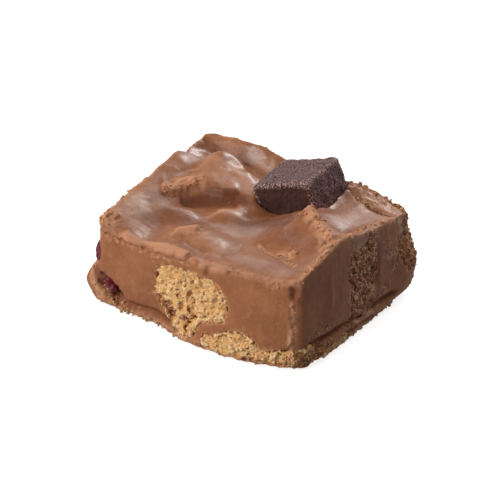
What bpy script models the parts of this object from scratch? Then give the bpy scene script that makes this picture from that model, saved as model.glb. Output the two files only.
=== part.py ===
"""A square of rocky road: a cut block of milk chocolate with a lumpy poured top, set with
biscuit and dried berries, and one chunk of dark fudge pressed into the top.

The block stands on its flat underside. Its long cut face looks along -Y and its short one along
+X. Sizes are in millimetres, in the frame of the cut outline; the meshes are in metres, with the
origin under the middle of the whole.
"""

from math import exp, hypot, radians

import bmesh
import bpy
from mathutils import Euler, Matrix, Vector

MM = 0.001
PARTS = "rocky_road"
CUTTERS = "cutters"

# Driving dimensions of the block.
WIDTH = 60.0
DEPTH = 50.7
CORNER_RADIUS = 2.2
FLOOR_HEIGHT = 23.0
FLOOR_RISE = 0.05
RIM_REACH = 6.5
RIM_SOFTNESS = 0.4
GAP = 0.3
FOOTPRINT_MIDDLE = (-2.34, -0.77)

# Height of the top edge along each side: (place along the side, height).
FRONT_RIM = (
    (-30, 24.6), (-25, 22.8), (-15, 21.2), (-7, 21.6), (8, 22.4), (18, 22.2), (25, 23.3), (30, 25.2),
)
RIGHT_RIM = ((-26, 25.3), (-19, 27.2), (-9, 29.0), (-3, 28.6), (4, 26.6), (12, 25.4), (25, 23.8))
BACK_RIM = (
    (-30, 31.2), (-22, 32.0), (-14, 32.0), (-9, 30.6), (-3, 28.4), (6, 27.6), (15, 28.2),
    (23, 26.4), (30, 23.4),
)
LEFT_RIM = (
    (-26, 25.0), (-21, 27.2), (-12, 28.2), (0, 29.2), (5, 30.2), (10, 31.2), (16, 30.2),
    (20, 30.4), (26, 31.0),
)

# Lumps of the poured top. Each has a crest line, the slopes to the left and the right of it, and
# how round the crest is.
LUMPS = (
    # the tall lump over the middle of the back, with a blunt facet to the front
    (
        (
            (-25.0, 9.0, 28.6), (-21.5, 15.2, 31.8), (-18.5, 16.0, 31.7), (-13.0, 14.4, 29.6),
            (-6.5, 13.0, 25.2),
        ),
        0.7, 0.46, 0.9,
    ),
    # its low shoulder towards the left edge, which ends in a small cliff
    (((-31.0, -1.0, 28.3), (-24.4, 1.2, 28.0), (-19.5, 6.3, 28.2), (-12.0, 8.0, 26.6)), 0.2, 1.05, 0.8),
    # the lump on the left edge
    (((-33.0, 6.5, 29.4), (-30.5, 10.5, 31.0)), 0.5, 0.7, 1.2),
    # two small bumps in the valley
    (((-19.6, -8.0, 25.3), (-18.4, -7.2, 25.3)), 0.6, 0.6, 1.3),
    (((-8.8, -2.2, 25.6), (-6.2, -0.8, 25.4)), 0.7, 0.75, 0.9),
    # the mound behind the front edge
    (((-11.5, -15.4, 23.8), (-7.5, -14.8, 25.2), (-1.5, -16.6, 24.9), (4.0, -16.4, 23.6)), 0.42, 0.34, 1.3),
    # the broad lump on the right edge, with a spur towards the valley
    (((15.6, 1.4, 29.6), (22.5, -3.0, 29.1), (32.0, -7.5, 29.6)), 0.8, 0.44, 0.9),
    (((15.6, 1.4, 29.4), (10.0, -4.6, 25.2), (7.4, -9.0, 23.4)), 0.5, 0.42, 1.2),
    # the rise that the chunk leans on
    (((13.8, 8.5, 25.2), (14.0, 23.0, 26.4)), 0.5, 0.14, 1.5),
    # the flat apron in front of the right lump
    (((9.5, -20.0, 23.1), (20.0, -17.5, 24.6), (27.0, -18.0, 25.6)), 0.12, 0.2, 1.5),
)

# Hollows in the top: middle, half sizes, depth.
DIPS = (
    ((-27.3, 15.6), (3.4, 3.6), 2.0),
    ((-18.5, 21.2), (7.0, 2.6), 3.4),
    ((-8.5, 19.6), (4.4, 4.0), 2.2),
    ((4.6, 5.8), (5.5, 4.2), 1.3),
    ((-15.4, -0.8), (5.6, 3.0), 1.2),
)

# Grid of the top, and the rows of the sides as shares of the way down.
TOP_COLUMNS = 40
TOP_ROWS = 34
SIDE_SHARES = (0.03, 0.12, 0.25, 0.4, 0.55, 0.7, 0.82, 0.92, 1.0)
UNDERSIDE_SHARE = 1.1
UNDERSIDE_INSET = 2.6

# How far the sides stand out of the outline at the top.
FRONT_BULGE = 1.4
FRONT_FOOT = 4.3
FRONT_FOOT_MIDDLE = 10.0
FRONT_FOOT_HALF = 22.0
LEFT_STAND = 2.1
LEFT_FLARE = 1.6
LEFT_FOOT = 4.6
RIGHT_STAND = 1.0
RIGHT_FLARE = 1.5
RIGHT_BUMP = 1.4
BACK_FLARE = 1.2
BACK_CORNER_BULGE = 3.4
EDGE_LIFT = 0.45
LEFT_CORNER_LIFT = 1.2
BACK_CORNER_LIFT = 2.2

# Biscuit pieces. Each is an outline on a cut face (along the face, height), drawn inwards in
# steps (depth from a plane clear of the face, scale along, scale up) about an anchor point.
FACES = {
    "front": (Vector((0, -35, 0)), Vector((1, 0, 0)), Vector((0, 1, 0))),
    "right": (Vector((38, 0, 0)), Vector((0, 1, 0)), Vector((-1, 0, 0))),
    "back": (Vector((0, 35, 0)), Vector((1, 0, 0)), Vector((0, -1, 0))),
    "left": (Vector((-40, 0, 0)), Vector((0, 1, 0)), Vector((1, 0, 0))),
}
BISCUITS = {
    "biscuit_front": {
        "face": "front",
        "outline": (
            (-12.4, 17.2), (-8.0, 19.2), (-2.0, 19.3), (4.4, 18.2), (8.2, 16.0), (9.8, 12.8),
            (9.2, 9.4), (2.6, 7.6), (-0.4, 2.4), (-4.2, 2.2), (-9.2, 5.6), (-13.4, 9.8),
        ),
        "anchor": (-2.0, 12.0),
        "steps": ((17.5, 1.0, 1.0), (22.0, 0.86, 0.84), (24.5, 0.5, 0.5)),
    },
    "biscuit_base": {
        "face": "front",
        "outline": (
            (3.6, 1.4), (4.0, 4.0), (8.0, 5.2), (11.2, 6.8), (14.8, 7.6), (17.2, 6.4),
            (19.4, 4.6), (22.0, 4.0), (28.6, 5.4), (38.0, 5.8), (38.0, 1.4),
        ),
        "anchor": (38.0, 1.4),
        "steps": ((12.0, 1.0, 1.0), (17.0, 0.8, 0.8), (22.0, 0.42, 0.6), (28.0, 0.3, 0.5)),
    },
    "biscuit_side": {
        "face": "right",
        "outline": (
            (5.2, 23.4), (8.2, 20.0), (8.4, 14.0), (6.6, 9.0), (6.2, 5.0), (0.0, 4.6),
            (-3.8, 6.2), (-4.0, 10.4), (-1.8, 13.8), (-4.8, 18.0), (-3.4, 22.8),
        ),
        "anchor": (2.0, 14.0),
        "steps": ((11.5, 1.0, 1.0), (14.5, 0.84, 0.86), (16.5, 0.5, 0.5)),
    },
    "biscuit_back": {
        "face": "back",
        "outline": (
            (14.6, 36.0), (14.0, 24.0), (16.0, 17.0), (21.0, 13.0), (27.0, 9.5), (38.0, 8.6), (38.0, 36.0),
        ),
        "anchor": (38.0, 24.0),
        "steps": ((12.6, 1.0, 1.0), (14.6, 0.8, 0.75)),
    },
    "biscuit_left": {
        "face": "left",
        "outline": (
            (1.0, 18.6), (8.4, 17.6), (12.0, 12.6), (9.6, 6.8), (2.6, 5.4), (-3.0, 9.6), (-2.6, 15.4),
        ),
        "anchor": (4.0, 12.0),
        "steps": ((15.0, 1.0, 1.0), (18.5, 0.84, 0.84), (20.5, 0.5, 0.5)),
    },
}

# Egg-shaped things: middle, half sizes, and turn in degrees about X, Y and Z.
BERRIES = {
    "berry_corner": ((-28.3, -24.4, 7.2), (3.2, 2.3, 1.9), (0, 38, 0)),
    "berry_left": ((-32.2, -21.8, 14.4), (1.9, 2.7, 3.7), (8, 0, 0)),
}
CORNER_HOLLOW = ((-27.4, -26.4, 6.0), (5.4, 4.0, 2.7), (0, 40, 0))
EGG_SEGMENTS = 16
EGG_RINGS = 10

# The chunk of fudge leans to the left, with its left end sunk in the top.
CHUNK_MIDDLE = (4.2, 15.5, 26.85)
CHUNK_SIZE = (17.6, 16.0, 10.3)
CHUNK_TURN = (4.4, -17.0, 0.0)
CHUNK_BEVEL = 0.7

# Colour and roughness of each material.
MATERIALS = {
    "milk_chocolate": ((0.31, 0.13, 0.065), 0.45),
    "fudge": ((0.045, 0.022, 0.018), 0.6),
    "biscuit": ((0.53, 0.28, 0.12), 0.9),
    "berry": ((0.09, 0.008, 0.012), 0.3),
}
SMOOTH_ANGLE = 40.0


def ease(share):
    """0 to 1, slow at both ends."""
    share = max(0.0, min(1.0, share))
    return share * share * (3 - 2 * share)


def bell(distance, reach):
    return exp(-((distance / reach) ** 2))


def along(stations, place):
    """Height at a place along a rim, eased between its stations."""
    if place <= stations[0][0]:
        return stations[0][1]
    for (start, low), (end, high) in zip(stations, stations[1:]):
        if place <= end:
            return low + (high - low) * ease((place - start) / (end - start))
    return stations[-1][1]


def smooth_max(a, b, blend=0.6):
    """The larger of two heights, rounded where they cross."""
    share = max(0.0, min(1.0, 0.5 + 0.5 * (a - b) / blend))
    return b + (a - b) * share + blend * share * (1 - share)


def lump_height(x, y, crest, left_slope, right_slope, roundness):
    """Height of a tent-shaped lump at a point: its crest less the fall to either side."""
    best = -1000.0
    for a, b in zip(crest, crest[1:]):
        run_x, run_y = b[0] - a[0], b[1] - a[1]
        share = ((x - a[0]) * run_x + (y - a[1]) * run_y) / (run_x * run_x + run_y * run_y)
        share = max(0.0, min(1.0, share))
        off_x, off_y = x - a[0] - run_x * share, y - a[1] - run_y * share
        slope = left_slope if run_x * off_y - run_y * off_x > 0 else right_slope
        fall = slope * (hypot(off_x, off_y, roundness) - roundness)
        best = max(best, a[2] + (b[2] - a[2]) * share - fall)
    return best


def floor_and_rims(x, y):
    """Height of the valley floor, which rises to the rims near the sides."""
    floor = FLOOR_HEIGHT + FLOOR_RISE * y
    sides = (
        (y + DEPTH / 2, along(FRONT_RIM, x)),
        (DEPTH / 2 - y, along(BACK_RIM, x)),
        (x + WIDTH / 2, along(LEFT_RIM, y)),
        (WIDTH / 2 - x, along(RIGHT_RIM, y)),
    )
    clear = 1.0
    total, weights = 0.0, 0.0
    for inward, height in sides:
        near = bell(max(inward, 0.0), RIM_REACH)
        weight = near / (max(inward, 0.0) + RIM_SOFTNESS)
        clear *= 1.0 - near
        total += weight * height
        weights += weight
    return floor + (total / weights - floor) * (1.0 - clear) if weights > 0 else floor


def top_height(x, y):
    """Height of the poured top at a point of the outline."""
    height = floor_and_rims(x, y)
    for crest, left_slope, right_slope, roundness in LUMPS:
        height = smooth_max(height, lump_height(x, y, crest, left_slope, right_slope, roundness))
    for (dip_x, dip_y), (half_x, half_y), depth in DIPS:
        height -= depth * bell(x - dip_x, half_x) * bell(y - dip_y, half_y)
    return height


def rounded(x, y):
    """A point of the square outline, drawn in so that its corners are round."""
    over_x = abs(x) - (WIDTH / 2 - CORNER_RADIUS)
    over_y = abs(y) - (DEPTH / 2 - CORNER_RADIUS)
    if over_x <= 0 or over_y <= 0:
        return x, y
    drawn = 1.0 - max(over_x, over_y) / hypot(over_x, over_y)
    new_x, new_y = abs(x) - over_x * drawn, abs(y) - over_y * drawn
    return (new_x if x > 0 else -new_x), (new_y if y > 0 else -new_y)


def side_offset(x, y, share, height):
    """How far a point of the side stands out of the outline, by its share of the way down."""
    across, back = x / (WIDTH / 2), y / (DEPTH / 2)
    middle = 1.0 - across * across
    foot = max(0.0, 1.0 - ((x - FRONT_FOOT_MIDDLE) / FRONT_FOOT_HALF) ** 2)
    front = FRONT_BULGE * middle + FRONT_FOOT * foot * share**1.3
    left = LEFT_STAND + LEFT_FLARE * share + LEFT_FOOT * bell(y + 21.5, 8.0) * bell(height - 6.5, 4.4)
    right = (RIGHT_STAND + RIGHT_FLARE * share) * ease((y + 33.0) / 22.0)
    right += RIGHT_BUMP * bell(y - 25.0, 6.0) * bell(height - 9.0, 4.6)
    rear = BACK_FLARE * share + BACK_CORNER_BULGE * bell(x - 28.0, 9.0) * bell(height - 11.0, 8.0)
    on_left, on_right = ease(-8 * across - 7), ease(8 * across - 7)
    on_front, on_back = ease(-8 * back - 7), ease(8 * back - 7)
    return on_right * right - on_left * left, on_back * rear - on_front * front


def base_height(x, y):
    """Height of the lowest edge of the sides, which curls up towards some corners."""
    left_front = bell(hypot(x + 30, y + 25), 14.0)
    right_back = bell(hypot(x - 30, y - 25), 16.0)
    return EDGE_LIFT + LEFT_CORNER_LIFT * left_front + BACK_CORNER_LIFT * right_back


def shaped(co):
    """Where a point of the straight cage goes. The cage's z is the share of the height."""
    x, y = rounded(co.x, co.y)
    share = 1.0 - co.z
    height = top_height(co.x, co.y)
    height += (base_height(x, y) - height) * min(share, 1.0)
    shift_x, shift_y = side_offset(x, y, min(share, 1.0), height)
    if share <= 1.0:
        return Vector((x + shift_x, y + shift_y, height))
    drawn = 1.0 - UNDERSIDE_INSET / hypot(x, y)
    return Vector(((x + shift_x) * drawn, (y + shift_y) * drawn, 0.0))


def straight_cage():
    """A grid for the top, its rim extruded down in rows, and one face for the underside."""
    shape = bmesh.new()
    bmesh.ops.create_grid(shape, x_segments=TOP_COLUMNS, y_segments=TOP_ROWS, size=0.5)
    bmesh.ops.scale(shape, vec=(WIDTH, DEPTH, 1.0), verts=shape.verts)
    bmesh.ops.translate(shape, vec=(0.0, 0.0, 1.0), verts=shape.verts)
    ring = [edge for edge in shape.edges if edge.is_boundary]
    for share in SIDE_SHARES + (UNDERSIDE_SHARE,):
        made = bmesh.ops.extrude_edge_only(shape, edges=ring)["geom"]
        fresh = {item for item in made if isinstance(item, bmesh.types.BMVert)}
        for vert in fresh:
            vert.co.z = 1.0 - share
        ring = [item for item in made if isinstance(item, bmesh.types.BMEdge) and set(item.verts) <= fresh]
    bmesh.ops.contextual_create(shape, geom=ring)
    return shape


def mesh_from(shape, name):
    """A mesh of triangles in metres from a bmesh in millimetres, with its faces turned outwards."""
    middle = Vector((*FOOTPRINT_MIDDLE, 0.0))
    for vert in shape.verts:
        vert.co = (vert.co - middle) * MM
    bmesh.ops.triangulate(shape, faces=shape.faces)
    bmesh.ops.recalc_face_normals(shape, faces=shape.faces)
    mesh = bpy.data.meshes.new(name)
    shape.to_mesh(mesh)
    shape.free()
    return mesh


def block_mesh():
    """The whole block, before the pieces in it are cut out."""
    shape = straight_cage()
    for vert in shape.verts:
        vert.co = shaped(vert.co)
    return mesh_from(shape, "block")


def plug(spec):
    """A biscuit: its outline on a cut face, drawn inwards ring by ring and closed at both ends."""
    origin, across, inward = FACES[spec["face"]]
    anchor_across, anchor_up = spec["anchor"]
    shape = bmesh.new()
    rings = []
    for depth, scale_across, scale_up in ((0.0, 1.0, 1.0),) + spec["steps"]:
        ring = []
        for place_across, place_up in spec["outline"]:
            at = anchor_across + (place_across - anchor_across) * scale_across
            up = anchor_up + (place_up - anchor_up) * scale_up
            ring.append(shape.verts.new(origin + across * at + Vector((0, 0, up)) + inward * depth))
        rings.append([shape.edges.new(pair) for pair in zip(ring, ring[1:] + ring[:1])])
    for outer, inner in zip(rings, rings[1:]):
        bmesh.ops.bridge_loops(shape, edges=outer + inner)
    bmesh.ops.contextual_create(shape, geom=rings[0])
    bmesh.ops.contextual_create(shape, geom=rings[-1])
    return shape


def put(shape, middle, size, turn):
    """Sizes, turns and moves a whole shape."""
    turned = Euler([radians(angle) for angle in turn]).to_matrix().to_4x4()
    move = Matrix.Translation(middle) @ turned @ Matrix.Diagonal((*size, 1.0))
    bmesh.ops.transform(shape, matrix=move, verts=shape.verts)
    return shape


def egg(spec):
    shape = bmesh.new()
    bmesh.ops.create_uvsphere(shape, u_segments=EGG_SEGMENTS, v_segments=EGG_RINGS, radius=1.0)
    return put(shape, *spec)


def fudge(size):
    """The cut chunk of fudge, with its edges worn round."""
    shape = bmesh.new()
    bmesh.ops.create_cube(shape, size=1.0)
    bmesh.ops.scale(shape, vec=size, verts=shape.verts)
    bmesh.ops.bevel(shape, geom=shape.edges, offset=CHUNK_BEVEL, segments=2, profile=0.5, affect="EDGES")
    return put(shape, CHUNK_MIDDLE, (1, 1, 1), CHUNK_TURN)


def swollen(shape):
    """The shape with every face moved outwards by the gap, to cut its seat."""
    bmesh.ops.recalc_face_normals(shape, faces=shape.faces)
    moves = [(vert, vert.normal * (GAP * vert.calc_shell_factor())) for vert in shape.verts]
    for vert, move in moves:
        vert.co += move
    return shape


def material(name):
    """The named finish, made once."""
    made = bpy.data.materials.get(name)
    if made:
        return made
    made = bpy.data.materials.new(name)
    made.use_nodes = True
    colour, roughness = MATERIALS[name]
    shader = made.node_tree.nodes["Principled BSDF"]
    shader.inputs["Base Color"].default_value = (*colour, 1.0)
    shader.inputs["Roughness"].default_value = roughness
    shader.inputs["Metallic"].default_value = 0.0
    return made


def add_part(name, mesh, finish):
    part = bpy.data.objects.new(name, mesh)
    mesh.materials.append(material(finish))
    mesh.shade_smooth()
    mesh.set_sharp_from_angle(angle=radians(SMOOTH_ANGLE))
    bpy.data.collections[PARTS].objects.link(part)
    return part


def add_cutter(name, mesh):
    cutter = bpy.data.objects.new(name, mesh)
    cutter.hide_render = True
    cutter.display_type = "WIRE"
    bpy.data.collections[CUTTERS].objects.link(cutter)
    return cutter


def boolean(part, cutter, operation):
    step = part.modifiers.new(cutter.name, "BOOLEAN")
    step.solver = "EXACT"
    step.operation = operation
    step.object = cutter


def set_in(block, name, make, spec, finish):
    """Adds a piece and cuts its seat out of the block, a gap wider all round."""
    part = add_part(name, mesh_from(make(spec), name), finish)
    seat = add_cutter(name + "_seat", mesh_from(swollen(make(spec)), name + "_seat"))
    boolean(block, seat, "DIFFERENCE")
    return part


def clear_scene():
    for item in list(bpy.data.objects):
        bpy.data.objects.remove(item, do_unlink=True)


def main():
    clear_scene()
    for name in (PARTS, CUTTERS):
        bpy.context.scene.collection.children.link(bpy.data.collections.new(name))
    block = add_part("chocolate_block", block_mesh(), "milk_chocolate")
    uncut = add_cutter("uncut_block", block_mesh())
    for name, spec in BISCUITS.items():
        biscuit = set_in(block, name, plug, spec, "biscuit")
        boolean(biscuit, uncut, "INTERSECT")
    hollow = add_cutter("corner_hollow", mesh_from(egg(CORNER_HOLLOW), "corner_hollow"))
    boolean(block, hollow, "DIFFERENCE")
    for name, spec in BERRIES.items():
        set_in(block, name, egg, spec, "berry")
    set_in(block, "dark_chunk", fudge, CHUNK_SIZE, "fudge")


main()
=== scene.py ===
"""The looks of a cut square of rocky road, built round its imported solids.

The chocolate, the biscuit, the fudge chunk and the berries are remade as finely shaped meshes where
their solids lie, with loose crumbs on the edges. Sizes in the tables are in millimetres.
"""

import math
import random

import bpy
import numpy as np
from bpy.props import FloatProperty, FloatVectorProperty, PointerProperty
from mathutils import Euler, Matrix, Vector, noise
from mathutils.bvhtree import BVHTree
from mathutils.kdtree import KDTree


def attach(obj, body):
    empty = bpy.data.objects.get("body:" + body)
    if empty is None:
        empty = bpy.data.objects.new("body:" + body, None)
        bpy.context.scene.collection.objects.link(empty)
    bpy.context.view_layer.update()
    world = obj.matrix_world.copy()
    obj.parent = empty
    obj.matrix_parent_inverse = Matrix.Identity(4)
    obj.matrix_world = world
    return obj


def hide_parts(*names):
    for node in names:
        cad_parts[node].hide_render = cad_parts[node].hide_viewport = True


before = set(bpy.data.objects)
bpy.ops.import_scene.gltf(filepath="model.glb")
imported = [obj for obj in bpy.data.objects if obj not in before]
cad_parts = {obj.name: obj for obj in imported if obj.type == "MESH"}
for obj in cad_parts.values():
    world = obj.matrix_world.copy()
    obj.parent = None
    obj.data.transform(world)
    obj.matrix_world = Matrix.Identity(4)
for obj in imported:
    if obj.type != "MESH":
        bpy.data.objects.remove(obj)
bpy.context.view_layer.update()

bl_info = {
    "name": "Rocky road square",
    "version": (1, 0, 0),
    "blender": (4, 5, 0),
    "location": "3D View > Sidebar > Rocky road",
    "description": "Finishes a cut square of rocky road and sets up its studio",
    "category": "Object",
}

MM = 0.001
CAMERA_AIM = Vector((0.93, 0.5, 14.26)) * MM
LIGHT_AIM = Vector((0.0, 0.0, 15.0)) * MM
BISCUITS = ("biscuit_front", "biscuit_base", "biscuit_side", "biscuit_back", "biscuit_left")
BERRIES = ("berry_corner", "berry_left")
SET_IN = BISCUITS + BERRIES + ("dark_chunk",)

# The cut sides lie between these heights, this far from the seats of what is set in them.
CUT_FROM, CUT_TO, SEAT_GAP = 4, 24, 0.6

# Which way a stroke looks: how much each axis counts in its distances.
TOP = (1.0, 1.0, 0.3)
FRONT = (1.0, 0.3, 1.0)
RIGHT = (0.3, 1.0, 1.0)
ALL = (1.0, 1.0, 1.0)

UP = (0.0, 0.0, 1.0)
TOWARDS_FRONT = (0.0, -1.0, 0.0)
TO_THE_RIGHT = (1.0, 0.0, 0.0)

# Paths that more than one table uses.
UNDER_LIP = (
    (-28.0, -24.3, 22.2), (-22.0, -24.6, 21.5), (-16.4, -25.2, 21.0),
    (-8.3, -25.0, 21.3), (0.1, -25.2, 21.6),
)
CRUMB_LINE = ((11.2, -11.0, 23.5), (14.7, -12.6, 23.8), (21.7, -15.7, 24.5), (26.6, -18.3, 25.1))
CRUMB_PATCH = ((18.5, -12.6, 24.3), (22.8, -13.4, 24.8))
FLAP_EDGE = ((-32.0, -23.5, 12.0), (-31.5, -24.0, 7.0), (-29.0, -24.6, 3.0))
FACET = ((-17.5, 9.6, 28.6), (-10.0, 8.6, 27.4))
MOUND_TOP = ((-3.6, -17.6, 24.5), (4.4, -17.4, 23.6))

# Strokes on the poured top. Each row is its view, path, reach, lift, direction and shape, and the share of
# the path over which its ends fade.
TOP_STROKES = (
    # the trough behind the lip
    (TOP, ((-6.6, -19.4, 23.6), (-3.3, -20.2, 23.7), (0.0, -21.2, 23.6), (3.4, -22.2, 23.2)),
     1.1, -0.6, UP, "ridge", 0.25),
    # the nub at the left end of the mound, and the crease on the mound's right
    (TOP, ((-11.0, -17.0, 23.8), (-7.4, -15.5, 24.8), (-4.4, -14.8, 25.1)), 2.0, 1.1, UP, "dome", 0.05),
    (TOP, ((7.2, -21.9, 22.8), (7.9, -18.6, 22.9), (7.9, -14.8, 23.2), (6.6, -10.6, 23.0)),
     0.8, -0.5, UP, "tent", 0.3),
    # the right lump's steep front, from its top down to the crease at its foot
    (TOP, ((15.5, -1.4, 29.0), (20.5, -2.9, 28.8), (26.0, -5.5, 28.6), (31.0, -8.5, 28.6)),
     2.6, 1.2, UP, "ridge", 0.1),
    (TOP, ((9.8, -9.6, 24.0), (11.2, -10.6, 23.5), (16.0, -11.8, 23.9), (21.4, -14.2, 24.5),
           (27.0, -17.6, 25.2)),
     1.9, -0.9, UP, "ridge", 0.2),
    (TOP, ((11.2, -11.2, 23.5), (14.7, -12.9, 23.8), (21.7, -16.0, 24.5), (27.0, -18.6, 25.2)),
     0.7, -0.35, UP, "tent", 0.25),
    # the chocolate drawn up against the chunk's right side
    (TOP, ((16.8, 8.0, 27.6), (16.4, 14.0, 26.4), (16.4, 19.0, 25.8), (17.4, 23.0, 27.0)),
     1.1, 0.6, UP, "ridge", 0.1),
    # the hollow under the flake and the facet
    (TOP, ((-19.8, -2.0, 24.8), (-17.6, -0.2, 24.4), (-14.6, 1.6, 24.0), (-9.8, 3.2, 24.4),
           (-5.0, 5.0, 24.6)),
     2.6, -1.1, UP, "ridge", 0.1),
    # the pocket behind the left lump, and its lip
    (TOP, ((-26.6, 21.2, 28.4), (-22.2, 21.4, 28.4)), 2.4, -1.9, UP, "ridge", 0.0),
    (TOP, ((-29.4, 15.6, 29.0), (-29.8, 19.0, 29.0), (-28.6, 22.4, 29.4)), 1.2, 0.6, UP, "ridge", 0.1),
    # the crest falls off to its right
    (TOP, ((-13.4, 15.8, 29.6), (-11.2, 17.0, 28.5)), 2.8, -1.8, UP, "ridge", 0.0),
    # the top of the right lump
    (TOP, ((17.6, 2.0, 29.5), (22.0, 0.4, 29.1), (26.6, -2.4, 28.8)), 1.6, 0.5, UP, "ridge", 0.2),
)

# Broken steps: the uphill side of each path, on its left, is raised.
STEPS = (
    (TOP, ((-23.4, -4.8, 25.6), (-21.2, -3.0, 25.6), (-19.4, 0.0, 26.0), (-17.0, 3.4, 26.8)),
     2.8, 1.8, UP, "step", 0.08),
    (TOP, ((-16.8, 3.2, 26.0), (-13.2, 3.8, 25.6), (-10.0, 4.6, 25.2), (-6.0, 7.0, 25.2)),
     3.2, 1.1, UP, "step", 0.15),
)

# Sharp shapes laid on after the smoothing, in the same terms.
CRISP_STROKES = (
    # the lip smeared along the front edge
    (TOP, ((-22.0, -23.6, 22.4), (-15.2, -23.6, 22.2), (-9.4, -23.4, 22.6), (-4.0, -24.0, 23.0),
           (-0.6, -24.8, 23.0)),
     1.35, 0.95, UP, "slab", 0.04),
    (FRONT, ((-21.0, -24.3, 22.6), (-15.2, -24.8, 22.4), (-9.4, -24.6, 22.7), (-4.0, -24.8, 23.1),
             (-0.6, -25.2, 23.1)),
     1.15, 0.55, (0.0, -0.9, 0.3), "slab", 0.04),
    # the crack under the lip
    (FRONT, UNDER_LIP, 0.45, -0.8, TOWARDS_FRONT, "ridge", 0.05),
    # the torn peak of the right lump
    (TOP, ((17.6, 2.2, 29.2), (20.0, -0.6, 29.2), (22.8, -2.6, 28.9)), 1.7, 1.5, UP, "ridge", 0.1),
    # the fold and the lip along the bottom of the front
    (FRONT, ((-25.0, -24.4, 3.6), (-17.6, -25.4, 4.0), (-11.0, -25.7, 4.3), (-4.5, -27.4, 3.4)),
     0.7, -1.0, TOWARDS_FRONT, "ridge", 0.1),
    (FRONT, ((-24.0, -24.4, 2.0), (-16.0, -25.4, 2.4), (-9.0, -26.4, 2.4), (-3.0, -28.0, 1.8)),
     0.9, 0.7, TOWARDS_FRONT, "ridge", 0.1),
    # the folds along the foot of the right side
    (RIGHT, ((33.0, -22.7, 6.2), (34.4, -14.0, 6.0), (34.5, -7.2, 5.8), (34.5, 4.0, 5.0),
             (34.5, 18.5, 4.2)),
     0.7, -1.2, TO_THE_RIGHT, "ridge", 0.05),
    (RIGHT, ((33.0, -21.6, 4.8), (34.4, -12.0, 4.5), (34.5, -3.0, 4.3), (34.5, 8.0, 3.4)),
     0.7, 0.5, TO_THE_RIGHT, "ridge", 0.1),
    (RIGHT, ((33.0, -20.6, 3.2), (34.4, -11.0, 3.0), (34.5, -2.0, 2.7), (34.4, 8.0, 2.0)),
     0.5, -0.9, TO_THE_RIGHT, "ridge", 0.1),
    # the broken back right edge
    (ALL, ((34.4, 26.4, 10.5),), 1.9, 0.9, (0.9, 0.4, 0.0), "dome", 0.0),
    (ALL, ((34.2, 26.8, 6.6),), 1.3, -1.0, (0.9, 0.4, 0.0), "dome", 0.0),
    # the drops beside the lip
    (ALL, ((1.6, -24.8, 22.6), (1.8, -24.9, 22.0)), 1.3, 0.8, (0.0, -0.8, 0.5), "dome", 0.0),
    (ALL, ((4.4, -25.4, 22.4), (4.6, -25.4, 21.2)), 1.3, 1.0, (0.0, -0.9, 0.3), "dome", 0.0),
    (ALL, ((8.2, -25.2, 22.4), (11.2, -25.6, 22.4)), 0.9, 0.7, (0.0, -0.8, 0.5), "dome", 0.0),
    # the scuffed blob on the front left corner
    (ALL, ((-29.4, -22.6, 24.4), (-28.6, -23.2, 24.6)), 1.5, 0.35, None, "dome", 0.0),
    (ALL, ((-27.6, -21.4, 26.0), (-26.8, -20.8, 26.2)), 1.7, 0.35, None, "dome", 0.0),
    (ALL, ((-26.8, -23.2, 24.8), (-25.2, -23.0, 24.6)), 1.3, 0.35, None, "dome", 0.0),
    (ALL, ((-29.0, -20.2, 26.6),), 1.3, 0.3, None, "dome", 0.0),
)

# Strokes on the cut sides, in the same terms.
SIDE_STROKES = (
    # the hollow by the berry at the front left corner, and the flap beside it
    (FRONT, ((-28.8, -24.0, 10.6), (-26.6, -24.8, 7.0), (-24.4, -24.8, 3.6)),
     1.0, -1.3, TOWARDS_FRONT, "ridge", 0.1),
    (FRONT, ((-31.4, -24.0, 11.0), (-29.8, -24.6, 7.0), (-27.4, -25.0, 3.4)),
     0.9, 0.5, TOWARDS_FRONT, "ridge", 0.1),
    # drag folds down the right side
    (RIGHT, ((33.6, -2.4, 23.0), (34.3, -3.4, 10.0)), 0.7, -0.35, TO_THE_RIGHT, "ridge", 0.2),
    (RIGHT, ((33.6, 10.3, 22.6), (34.4, 9.5, 8.3)), 0.8, -0.4, TO_THE_RIGHT, "ridge", 0.2),
    (RIGHT, ((33.4, -13.1, 22.4), (34.0, -12.4, 12.0)), 0.9, 0.3, TO_THE_RIGHT, "ridge", 0.3),
    # the notch in the front right edge
    (ALL, ((29.7, -24.8, 22.6), (30.7, -24.8, 21.4), (30.0, -24.9, 20.4), (30.8, -24.8, 19.2)),
     0.6, -1.2, None, "ridge", 0.1),
)

# The part of the lip that stays smooth.
SMOOTH_LIP = ((-21.0, -24.2, 22.8), (-9.8, -24.0, 23.0), (-0.6, -25.2, 23.2))

# Places smoothed over: view, path, reach, rounds.
SOFTENED = (
    (TOP, ((-25.0, 11.5, 29.5), (-27.0, 17.0, 28.5)), 2.8, 60),
    (TOP, ((0.5, -18.0, 24.0), (5.5, -16.5, 24.0)), 5.0, 60),
    (TOP, ((-25.0, -19.0, 25.5), (-23.4, -8.0, 27.0)), 5.5, 110),
    (TOP, ((-18.6, -11.0, 23.5), (-15.5, -7.0, 24.4)), 3.8, 70),
    (TOP, ((-7.4, -1.2, 24.8), (-4.0, 0.4, 24.5)), 3.4, 70),
    (TOP, ((24.4, 8.0, 25.4), (26.0, 14.0, 25.0), (28.0, 19.0, 24.9)), 5.0, 120),
)

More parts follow.
